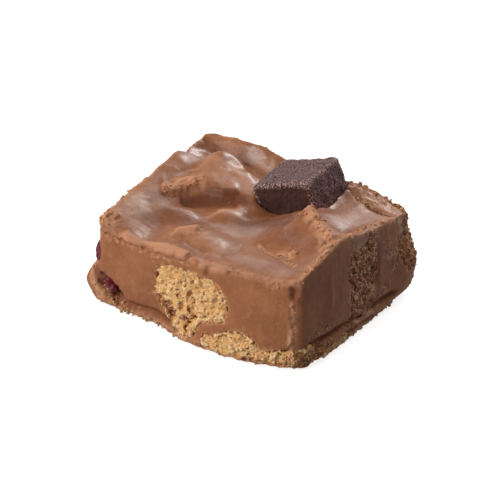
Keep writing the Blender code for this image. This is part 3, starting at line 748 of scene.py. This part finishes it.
def fudge_finish(look):
    """Dark fudge: grainy and dull, with pale scuffs and painted highlights on its edges, and a painted
    sheen on its top and right side.
    """
    f = Finish("fudge")
    relief = f.kept("relief")
    fine = f.noise(0.4, 4.0, 0.7)
    patch = f.noise(3.0, 3.0, 0.6)
    flecks = f.cells(0.55)
    colour = f.mix(patch, look.dark_colour, look.light_colour)
    # Painted sheen on the top and the right side, broken up by the grain.
    colour = f.mix(f.kept("grainy_sheen") * f.between(fine, 0.4, 0.64), colour, look.grainy_sheen_colour)
    # Paler on the raised edges: scuffs, and a painted highlight along them.
    colour = f.mix(f.between(relief, 0.03, 0.12) * f.between(fine, 0.48, 0.58), colour, look.scuff_and_edge_highlight_colour)
    colour = f.mix(f.between(flecks, 0.12, 0.05) * 0.6, colour, look.scuff_and_edge_highlight_colour)
    f.set(Base_Color=colour, Roughness=0.55 + fine * 0.3, Specular_IOR_Level=0.25)
    f.set(Normal=f.bump(fine, 0.2, 0.8))
    return f.material


def berry_finish(look):
    """Dried berry: dark red and a little shiny, with deep wrinkles."""
    f = Finish("berry")
    colour = f.mix(f.noise(0.9, 3.0), look.dark_colour, look.light_colour)
    wrinkles = f.bump(f.noise(0.6, 3.0), 0.15, 0.5)
    f.set(Base_Color=colour, Roughness=0.34, Normal=wrinkles, Specular_IOR_Level=0.2)
    f.set(Subsurface_Weight=0.15, Subsurface_Radius=(1.0, 0.2, 0.1), Subsurface_Scale=0.8 * MM)
    return f.material


def tree_of(*nodes):
    """A search tree of some CAD nodes' meshes, in metres."""
    points, faces = [], []
    for node in nodes:
        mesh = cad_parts[node].data
        faces += [[len(points) + corner for corner in p.vertices] for p in mesh.polygons]
        points += [v.co for v in mesh.vertices]
    return BVHTree.FromPolygons(points, faces)


def nearest_spots(tree, at, most):
    """Each point's nearest spot on a tree and its distance, no more than `most` millimetres."""
    near = at.copy()
    gap = np.full(len(at), float(most))
    for index, spot in enumerate(at):
        hit = tree.find_nearest(Vector(spot) * MM, most * MM)
        if hit[3] is not None:
            near[index] = np.array(hit[0]) / MM
            gap[index] = hit[3] / MM
    return near, gap


def inset_from_sides(at):
    """How far each point lies inside the block's cut sides, in plan."""
    seats = tree_of(*SET_IN)
    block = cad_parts["chocolate_block"].data
    sides = []
    for vert in block.vertices:
        if abs(vert.normal.z) < 0.5 and CUT_FROM < vert.co.z / MM < CUT_TO:
            if seats.find_nearest(vert.co, SEAT_GAP * MM)[3] is None:
                sides.append(vert.co)
    tree = KDTree(len(sides))
    for index, co in enumerate(sides):
        tree.insert((co.x, co.y, 0.0), index)
    tree.balance()
    return np.array([tree.find((x * MM, y * MM, 0.0))[2] / MM for x, y in at[:, :2]])


def draw_over(shape, node, most):
    """Draws the skin unevenly over the rim of what is set in it, and returns how near each point is."""
    near, gap = nearest_spots(tree_of(node), shape.at, 2.0)
    pull = ease((1.6 - gap) / 1.1) * np.clip(0.3 + 1.2 * grain(shape.at, 2.6, 3, 8.8), -0.15, 1.0) * most
    shape.at += (near - shape.at) / np.maximum(gap, 0.1)[:, None] * pull[:, None]
    return gap if node in BISCUITS else np.full(len(gap), 2.0)


def build_block(look):
    """The chocolate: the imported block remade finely, then shaped stroke by stroke."""
    block = cad_copy("chocolate_block", "chocolate")
    remesh(block, look.voxel)
    shape = Surface(block)
    for view, path, reach, rounds in SOFTENED:
        shape.relax(rounds, shape.closeness(view, path, reach))
    shape.relax(8)
    shape.write()
    inset = inset_from_sides(shape.at)
    steep = ease((0.75 - shape.out[:, 2]) / 0.3)
    cut = shape.blur(steep * ease((3.0 - inset) / 1.0), 3)
    rim = shape.blur(cut, 5)
    rim = 4 * rim * (1 - rim)
    under = shape.blur(ease((-0.4 - shape.out[:, 2]) / 0.3), 6)
    rim = np.maximum(rim, 4 * under * (1 - under))
    for stroke in TOP_STROKES + SIDE_STROKES:
        shape.stroke(*stroke)
    shape.relax(2)
    shape.write()
    for stroke in STEPS + CRISP_STROKES:
        shape.stroke(*stroke)
    beside = np.full(len(shape.at), 2.0)
    for node, most in DRAWN_OVER.items():
        beside = np.minimum(beside, draw_over(shape, node, most))
    shape.write()
    ragged = np.clip(rim * (0.2 + 1.0 * grain(shape.at, 5.0, 2, 3.1)), 0, 1)
    ragged *= 1.0 - shape.closeness(TOP, SMOOTH_LIP, 2.4)
    ragged = np.maximum(ragged, shape.painted(CRUMBLED))
    ragged = np.maximum(ragged, 0.8 * ease((0.9 - beside) / 0.7))
    ragged = shape.blur(ragged, 1)
    chips = grain(shape.at, 1.0, 2, 7.7) * 0.6 + grain(shape.at, 2.4, 2, 1.3) * 0.5
    shape.at += (ragged**1.5 * chips)[:, None] * shape.out
    waves = grain(shape.at, 6.0, 2, 4.4) * 0.12 + grain(shape.at, 1.4, 2, 5.9) * 0.05
    laced = shape.painted(LACED) * cut
    waves += laced * (grain(shape.at, 1.2, 2, 3.6) * 0.4 - 0.05)
    shape.at += waves[:, None] * shape.out
    shape.write()
    dust = ease((1.5 - beside) / 1.2) * ease(0.5 + 1.6 * grain(shape.at, 1.1, 3, 2.9))
    dust = np.maximum(dust, shape.painted(GOLDEN) * ease(0.4 + 2.0 * grain(shape.at, 0.9, 2, 6.1)))
    # Smeared and broken places, and painted highlights.
    smeared = shape.painted(SMEARED_AND_HIGHLIGHTED)
    glossy = np.maximum(PLAIN_GLOSS, shape.painted(GLOSSY)) * ease((shape.out[:, 2] - 0.3) / 0.3)
    glossy *= (1.0 - smeared**2) * (1.0 - cut) * (1.0 - np.minimum(1.4 * ragged, 1.0))
    shape.keep("glossy", shape.blur(glossy, 3))
    shape.keep("smeared", shape.blur(smeared, 1))
    shape.keep("cut", cut)
    shape.keep("laced", laced)
    shape.keep("ragged", ragged)
    shape.keep("relief", shape.relief(5))
    shape.keep("golden", dust)
    # Painted shade: how strongly the shade table darkens each point.
    shape.keep("dark", shape.blur(shape.painted(PAINTED_SHADE), 2))
    return block


def build_biscuit(node, look):
    """A piece of biscuit: a core that fills its seat, with grains of crumb on the face that shows."""
    dice = random.Random(node)
    core = cad_copy(node, node + "_crumb")
    remesh(core, 0.45)
    shape = Surface(core)
    wall = tree_of("chocolate_block")
    shown = np.zeros(len(shape.at))
    for index, (spot, way) in enumerate(zip(shape.at, shape.out)):
        start = Vector(spot - 0.2 * way) * MM
        shown[index] = wall.ray_cast(start, Vector(way), 1.6 * MM)[0] is None
    shown = shape.blur(shown, 1)
    open_spots = np.flatnonzero(shown > 0.15)
    ways = shape.out.copy()
    flush = shape.at + (0.45 * (1.0 - shown))[:, None] * ways
    shape.at += ((1.0 - shown) * 0.45 - shown * look.recess)[:, None] * shape.out
    hollow = np.zeros(len(flush))
    for hole, size in BISCUIT_HOLES:
        hollow = np.maximum(hollow, 1.0 - np.linalg.norm(flush - hole, axis=1) / (size + 0.35))
    shape.at -= (ease(hollow * 3.0) * 1.2)[:, None] * ways
    shape.write()
    gap = grain(flush, 1.9, 3, 5.5)
    grains = []
    for index in open_spots:
        if dice.random() > look.fill or gap[index] > 0.32 or hollow[index] > 0:
            continue
        size = 0.2 + 0.6 * dice.random() ** 2.2
        middle = flush[index] - ways[index] * (size * 0.8 + dice.uniform(-0.05, 0.2))
        middle += [dice.uniform(-0.4, 0.4) for _ in range(3)]
        half = [size * dice.uniform(0.6, 1.4) for _ in range(3)]
        grains.append((middle, half, [dice.uniform(0, 180) for _ in range(3)]))
    join([core, scatter_lumps(node + "_grains", grains)])
    remesh(core, look.voxel)
    shape = Surface(core)
    shape.relax(1)
    shape.write()
    cracks = np.clip(1.0 - np.abs(grain(shape.at, 1.7, 2, 3.9)) / 0.09, 0.0, 1.0)
    pits = ease((grain(shape.at, 1.1, 2, 8.1) - 0.3) / 0.2) * 0.4
    rough = grain(shape.at, 1.9, 3, 2.2) * 0.42 + grain(shape.at, 0.6, 2, 6.6) * 0.2 - cracks * 0.05 - pits
    skin = shape.painted(BISCUIT_SKIN)
    shape.relax(6, skin)
    rough *= 1.0 - 0.85 * skin
    shape.at += rough[:, None] * shape.out
    shape.write()
    shape.keep("relief", shape.relief(9))
    shape.keep("skin", skin)
    _, gap = nearest_spots(wall, shape.at, 1.4)
    smeared = ease((1.3 - gap) / 1.0) * ease(0.35 + 1.5 * grain(shape.at, 1.8, 2, 7.3))
    tone = BISCUIT_TONES[node] + 0.6 * smeared
    tone = np.maximum(tone, shape.painted(BISCUIT_SHADES))
    shape.keep("tone", np.clip(tone, 0.0, 1.0))
    return core


def scatter_lumps(name, lumps):
    """Many small lumps as one mesh, each a turned copy of one of a few uneven balls."""
    bpy.ops.object.select_all(action="DESELECT")
    bpy.ops.mesh.primitive_ico_sphere_add(subdivisions=2, radius=1.0)
    ball = bpy.context.object
    points = np.array([v.co[:] for v in ball.data.vertices])
    faces = np.array([p.vertices[:] for p in ball.data.polygons])
    bpy.data.objects.remove(ball)
    kinds = [points * (1.0 + 0.55 * grain(points, 0.8, 2, 3.0 * kind))[:, None] for kind in range(5)]
    all_points, all_faces = [], []
    for number, (middle, half, turn) in enumerate(lumps):
        turned = np.array(Euler([math.radians(angle) for angle in turn]).to_matrix())
        all_points.append((kinds[number % 5] * half) @ turned.T + middle)
        all_faces.append(faces + number * len(points))
    mesh = bpy.data.meshes.new(name)
    mesh.from_pydata((np.concatenate(all_points) * MM).tolist(), [], np.concatenate(all_faces).tolist())
    piece = bpy.data.objects.new(name, mesh)
    bpy.context.scene.collection.objects.link(piece)
    return piece


def build_crumbs(block, name, weights, count, small, large):
    """Loose crumbs stuck to the block, more of them where the weights are higher."""
    dice = np.random.default_rng(7)
    shape = Surface(block)
    chance = weights / weights.sum()
    spots = dice.choice(len(chance), size=count, p=chance)
    lumps = []
    for index in spots:
        size = small + (large - small) * dice.random() ** 2.5
        middle = shape.at[index] + shape.out[index] * size * 0.35
        lumps.append((middle, size * dice.uniform(0.65, 1.25, 3), dice.uniform(0.0, 180.0, 3)))
    return scatter_lumps(name, lumps)


def keep_evenly(piece, values):
    """Stores the same values at every point of a piece."""
    shape = Surface(piece)
    for name, value in values.items():
        shape.keep(name, np.full(len(shape.at), value))


def kept_value(piece, name):
    layer = piece.data.attributes[name]
    values = np.empty(len(layer.data), np.float32)
    layer.data.foreach_get("value", values)
    return values.astype(float)


def build_chunk(look):
    chunk = cad_copy("dark_chunk", "fudge_chunk")
    remesh(chunk, look.voxel)
    shape = Surface(chunk)
    shape.at += 0.3 * shape.out
    shape.relax(2)
    shape.write()
    edge = shape.relief(12)
    # Painted sheen: paler on the top and the right side.
    grainy_sheen = ease((shape.out[:, 0] - 0.45) / 0.3) + 0.8 * ease((shape.out[:, 2] - 0.6) / 0.2)
    rough = grain(shape.at, 3.0, 3, 1.1) * 0.35 + grain(shape.at, 0.8, 2, 6.2) * 0.14
    shape.at += rough[:, None] * shape.out
    shape.write()
    shape.keep("relief", edge + grain(shape.at, 0.6, 2, 3.3) * 0.05)
    shape.keep("grainy_sheen", grainy_sheen)
    return chunk


def build_berry(node, look):
    berry = cad_copy(node, node.replace("berry", "dried_berry"))
    remesh(berry, look.voxel)
    shape = Surface(berry)
    shape.at += BERRY_SWELL[node] * shape.out
    shape.write()
    wrinkles = -np.abs(grain(shape.at, 1.6, 2, 2.7)) * 0.9 + 0.2
    shape.at += wrinkles[:, None] * shape.out
    shape.relax(1)
    shape.write()
    return berry


def put_on(piece, finish, slot, *nodes):
    """Finishes a piece and fixes it to the frame."""
    piece.data.materials.clear()
    piece.data.materials.append(finish)
    only(piece)
    bpy.ops.object.shade_smooth()
    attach(piece, "root")
    if nodes:
        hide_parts(*nodes)


def colour_prop(name, text, value):
    return FloatVectorProperty(
        name=name, description=text, default=value, size=3, subtype="COLOR", min=0.0, max=1.0
    )


def fineness_prop(value):
    text = "Width of the faces of the mesh, in millimetres"
    return FloatProperty(name="Fineness", description=text, default=value)


def power_prop(name, value):
    return FloatProperty(name=name, description="Power in watts", default=value, unit="POWER")


def angle_prop(name, text, degrees):
    return FloatProperty(name=name, description=text, default=math.radians(degrees), subtype="ANGLE")


class ChocolateLook(bpy.types.PropertyGroup):
    voxel: fineness_prop(0.41)
    dark_colour: colour_prop("Dark", "Chocolate where it is darkest", (0.325, 0.112, 0.041))
    light_colour: colour_prop("Light", "Chocolate where it is lightest", (0.39, 0.142, 0.055))
    pale_colour: colour_prop("Pale", "Scuffs and grains", (0.5, 0.25, 0.14))
    # Painted shade: the colour put in the chocolate's hollows and shaded places.
    crack_shade_colour: colour_prop("Cracks", "Chocolate down the cracks", (0.17, 0.046, 0.015))
    crumb_colour: colour_prop("Crumbled", "Crumbled edges", (0.58, 0.29, 0.17))
    # Also the colour of the painted highlights.
    smear_and_highlight_colour: colour_prop("Smeared", "Smeared and broken places", (0.66, 0.31, 0.17))
    golden_colour: colour_prop("Golden", "Biscuit dust on the chocolate", (0.8, 0.4, 0.17))
    thread_colour: colour_prop("Threads", "Threads of crumb in the chocolate", (1.0, 0.62, 0.38))
    # Painted shade: the colour of the holes.
    hole_shade_colour: colour_prop("Holes", "The holes between the threads", (0.1, 0.03, 0.01))
    poured_roughness: FloatProperty(name="Poured top", description="Roughness of the top", default=0.4)
    cut_roughness: FloatProperty(name="Cut faces", description="Roughness of the cut faces", default=0.62)


class BiscuitLook(bpy.types.PropertyGroup):
    voxel: fineness_prop(0.21)
    recess: FloatProperty(name="Recess", description="How far the core lies behind its grains", default=0.1)
    fill: FloatProperty(name="Fill", description="Share of the face that holds a grain", default=0.3)
    crumb_colour: colour_prop("Crumb", "The crumb", (0.79, 0.445, 0.165))
    pale_colour: colour_prop("Pale", "Tops of the grains", (0.97, 0.74, 0.46))
    toasted_colour: colour_prop("Toasted", "Browner patches", (0.7, 0.33, 0.1))
    # Painted shade: the colour between the grains, also used for darker specks.
    deep_colour: colour_prop("Deep", "Between the grains", (0.42, 0.16, 0.036))
    # Painted shade: the colour down the holes.
    hole_shade_colour: colour_prop("Holes", "Down the holes", (0.1, 0.03, 0.01))
    skin_colour: colour_prop("Skin", "The skin of chocolate", (0.48, 0.21, 0.11))
    thread_colour: colour_prop("Threads", "Crumb where chocolate has soaked in", (1.0, 0.62, 0.38))
    soaked_colour: colour_prop("Soaked", "Where chocolate has soaked in", (0.33, 0.125, 0.05))


class FudgeLook(bpy.types.PropertyGroup):
    voxel: fineness_prop(0.28)
    dark_colour: colour_prop("Dark", "The fudge", (0.032, 0.01, 0.009))
    light_colour: colour_prop("Light", "Lighter patches", (0.08, 0.028, 0.022))
    # Painted sheen: the paler colour on the top and the right side.
    grainy_sheen_colour: colour_prop("Worn", "The grainy top and right", (0.37, 0.22, 0.21))
    # Also the painted highlight along the edges.
    scuff_and_edge_highlight_colour: colour_prop("Scuffs", "Scuffed edges and flecks", (0.56, 0.36, 0.31))


class BerryLook(bpy.types.PropertyGroup):
    voxel: fineness_prop(0.25)
    dark_colour: colour_prop("Dark", "The skin's folds", (0.05, 0.005, 0.007))
    light_colour: colour_prop("Light", "The skin", (0.24, 0.016, 0.03))


class StageLook(bpy.types.PropertyGroup):
    azimuth: angle_prop("Azimuth", "Camera's angle round the square", 33.3)
    elevation: angle_prop("Elevation", "Camera's angle above the floor", 27.2)
    distance: FloatProperty(name="Distance", description="Camera to its aim", default=0.65, unit="LENGTH")
    lens: FloatProperty(name="Lens", description="Focal length in millimetres", default=180.0)
    front_power: power_prop("Front light", 7.9)
    back_power: power_prop("Back light", 8.5)
    over_power: power_prop("Small back light", 1.1)
    top_power: power_prop("Top light", 1.4)
    sky: FloatProperty(name="Sky", description="Strength of the light from all round", default=0.16)


class ROAD_OT_block(bpy.types.Operator):
    """Makes the milk chocolate block with its poured top"""

    bl_idname = "rocky_road.block"
    bl_label = "Chocolate block"

    def execute(self, context):
        look = context.scene.road_chocolate
        put_on(build_block(look), chocolate_finish(look), "milk_chocolate", "chocolate_block")
        return {"FINISHED"}


class ROAD_OT_biscuits(bpy.types.Operator):
    """Makes the pieces of biscuit"""

    bl_idname = "rocky_road.biscuits"
    bl_label = "Biscuit"

    def execute(self, context):
        look = context.scene.road_biscuit
        finish = biscuit_finish(look)
        for node in BISCUITS:
            put_on(build_biscuit(node, look), finish, "biscuit", node)
        return {"FINISHED"}


class ROAD_OT_chunk(bpy.types.Operator):
    """Makes the chunk of dark fudge"""

    bl_idname = "rocky_road.chunk"
    bl_label = "Fudge chunk"

    def execute(self, context):
        look = context.scene.road_fudge
        put_on(build_chunk(look), fudge_finish(look), "fudge", "dark_chunk")
        return {"FINISHED"}


class ROAD_OT_berries(bpy.types.Operator):
    """Makes the dried berries"""

    bl_idname = "rocky_road.berries"
    bl_label = "Berries"

    def execute(self, context):
        look = context.scene.road_berry
        finish = berry_finish(look)
        for node in BERRIES:
            put_on(build_berry(node, look), finish, "berry", node)
        return {"FINISHED"}


def add_softbox(name, direction, distance, width, height, power):
    """A soft lamp that looks at the square of rocky road."""
    away = Vector(direction).normalized()
    light = bpy.data.lights.new(name, "AREA")
    light.shape = "RECTANGLE"
    light.size, light.size_y = width, height
    light.energy = power
    lamp = bpy.data.objects.new(name, light)
    lamp.location = LIGHT_AIM + away * distance
    lamp.rotation_euler = away.to_track_quat("Z", "Y").to_euler()
    bpy.context.scene.collection.objects.link(lamp)


def add_floor():
    bpy.ops.object.select_all(action="DESELECT")
    bpy.ops.mesh.primitive_plane_add(size=6.0)
    floor = bpy.context.object
    floor.name = "floor"
    floor.visible_diffuse = False
    floor.visible_shadow = False
    f = Finish("floor")
    f.set(Base_Color=(0.5, 0.5, 0.5, 1.0), Roughness=0.9)
    f.set(Emission_Color=(1.0, 1.0, 1.0, 1.0), Emission_Strength=0.8)
    floor.data.materials.append(f.material)


def add_sky(strength):
    """Even white light, which the camera sees as a pale backdrop."""
    world = bpy.data.worlds.new("studio")
    bpy.context.scene.world = world
    world.use_nodes = True
    nodes, links = world.node_tree.nodes, world.node_tree.links
    light = nodes["Background"]
    light.inputs["Color"].default_value = (1.0, 1.0, 1.0, 1.0)
    light.inputs["Strength"].default_value = strength
    backdrop = nodes.new("ShaderNodeBackground")
    backdrop.inputs["Color"].default_value = (0.97, 0.97, 0.97, 1.0)
    path = nodes.new("ShaderNodeLightPath")
    mix = nodes.new("ShaderNodeMixShader")
    links.new(path.outputs["Is Camera Ray"], mix.inputs["Fac"])
    links.new(light.outputs[0], mix.inputs[1])
    links.new(backdrop.outputs[0], mix.inputs[2])
    links.new(mix.outputs[0], nodes["World Output"].inputs["Surface"])


def add_camera(look):
    a, e = look.azimuth, look.elevation
    back = Vector((math.sin(a) * math.cos(e), -math.cos(a) * math.cos(e), math.sin(e)))
    lens = bpy.data.cameras.new("camera")
    lens.lens = look.lens
    lens.sensor_width = 36.0
    lens.clip_end = 20.0
    camera = bpy.data.objects.new("camera", lens)
    camera.location = CAMERA_AIM + back * look.distance
    camera.rotation_euler = back.to_track_quat("Z", "Y").to_euler()
    bpy.context.scene.collection.objects.link(camera)
    bpy.context.scene.camera = camera


class ROAD_OT_crumbs(bpy.types.Operator):
    """Scatters crumbs of chocolate and biscuit over the edges"""

    bl_idname = "rocky_road.crumbs"
    bl_label = "Crumbs"

    def execute(self, context):
        block = bpy.data.objects["chocolate"]
        ragged = kept_value(block, "ragged")
        golden = kept_value(block, "golden")
        crumbs = build_crumbs(block, "chocolate_crumbs", ragged**2, *CHOCOLATE_CRUMBS)
        keep_evenly(crumbs, CHOCOLATE_CRUMB_VALUES)
        put_on(crumbs, block.data.materials[0], "milk_chocolate")
        crumbs = build_crumbs(block, "biscuit_crumbs", golden**2, *BISCUIT_CRUMBS)
        keep_evenly(crumbs, BISCUIT_CRUMB_VALUES)
        put_on(crumbs, bpy.data.materials["biscuit"], "biscuit")
        return {"FINISHED"}


class ROAD_OT_stage(bpy.types.Operator):
    """Sets up the pale floor, the soft lights and the camera"""

    bl_idname = "rocky_road.stage"
    bl_label = "Studio"

    def execute(self, context):
        look = context.scene.road_stage
        add_floor()
        add_softbox("front_light", (-0.5, -0.76, 0.38), 0.9, 0.8, 0.8, look.front_power)
        add_softbox("back_light", (-0.4, 0.86, 0.25), 1.1, 2.4, 1.3, look.back_power)
        add_softbox("over_light", (0.0, 0.78, 0.62), 0.6, 0.3, 0.28, look.over_power)
        add_softbox("top_light", (0.1, 0.5, 0.86), 0.8, 0.7, 0.6, look.top_power)
        add_sky(look.sky)
        add_camera(look)
        context.scene.view_settings.view_transform = "Standard"
        return {"FINISHED"}


OPERATORS = (ROAD_OT_block, ROAD_OT_biscuits, ROAD_OT_chunk, ROAD_OT_berries, ROAD_OT_crumbs, ROAD_OT_stage)
LOOKS = {
    "road_chocolate": ChocolateLook,
    "road_biscuit": BiscuitLook,
    "road_fudge": FudgeLook,
    "road_berry": BerryLook,
    "road_stage": StageLook,
}


class ROAD_PT_square(bpy.types.Panel):
    """The steps that finish the square"""

    bl_label = "Rocky road"
    bl_idname = "ROAD_PT_square"
    bl_space_type = "VIEW_3D"
    bl_region_type = "UI"
    bl_category = "Rocky road"

    def draw(self, context):
        for step in OPERATORS:
            self.layout.operator(step.bl_idname)


def register():
    for group in (*LOOKS.values(), *OPERATORS, ROAD_PT_square):
        bpy.utils.register_class(group)
    for name, group in LOOKS.items():
        setattr(bpy.types.Scene, name, PointerProperty(type=group))


def unregister():
    for name in LOOKS:
        delattr(bpy.types.Scene, name)
    for group in (ROAD_PT_square, *reversed(OPERATORS), *reversed(LOOKS.values())):
        bpy.utils.unregister_class(group)


def main():
    register()
    bpy.ops.rocky_road.block()
    bpy.ops.rocky_road.biscuits()
    bpy.ops.rocky_road.chunk()
    bpy.ops.rocky_road.berries()
    bpy.ops.rocky_road.crumbs()
    bpy.ops.rocky_road.stage()


if __name__ == "__main__":
    main()
